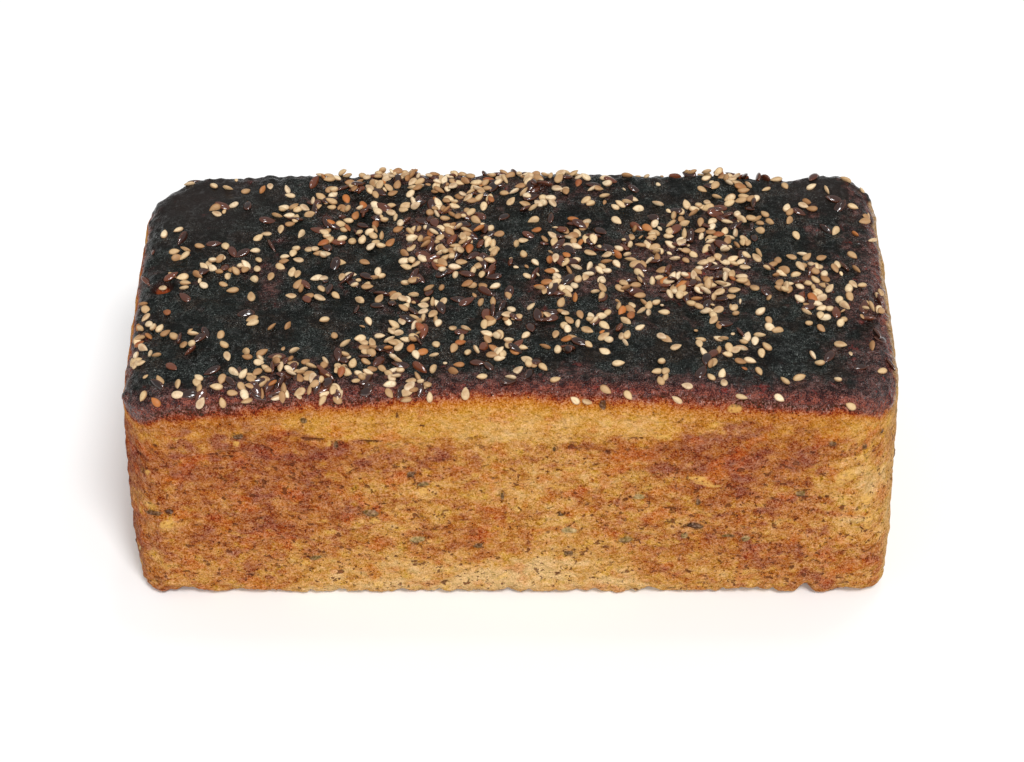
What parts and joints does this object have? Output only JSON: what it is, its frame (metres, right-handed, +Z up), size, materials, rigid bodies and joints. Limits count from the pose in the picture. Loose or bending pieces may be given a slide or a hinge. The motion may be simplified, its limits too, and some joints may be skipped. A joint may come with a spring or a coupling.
{
  "type": "rye bread loaf",
  "caption": "Whole tin-baked rye bread loaf, a rounded block with a near-black top crust strewn with sesame and linseed, tan sides and a ragged foot edge.",
  "frame": {"origin": "middle of the loaf's box, on its underside", "axes": "+X along the loaf's length, to the right seen from the front, +Y from the front side to the back side, +Z up"},
  "size_m": [0.2014, 0.1, 0.072],
  "materials": {
    "crust": "matt baked crust: near-black and glossy on top, mottled tan and red-brown on the sides",
    "sesame": "satin hulled sesame seed, cream to toasted golden brown",
    "linseed": "glossy dark brown linseed"
  },
  "bodies": {
    "root": {"loaf": "crust"}
  },
  "joints": []
}
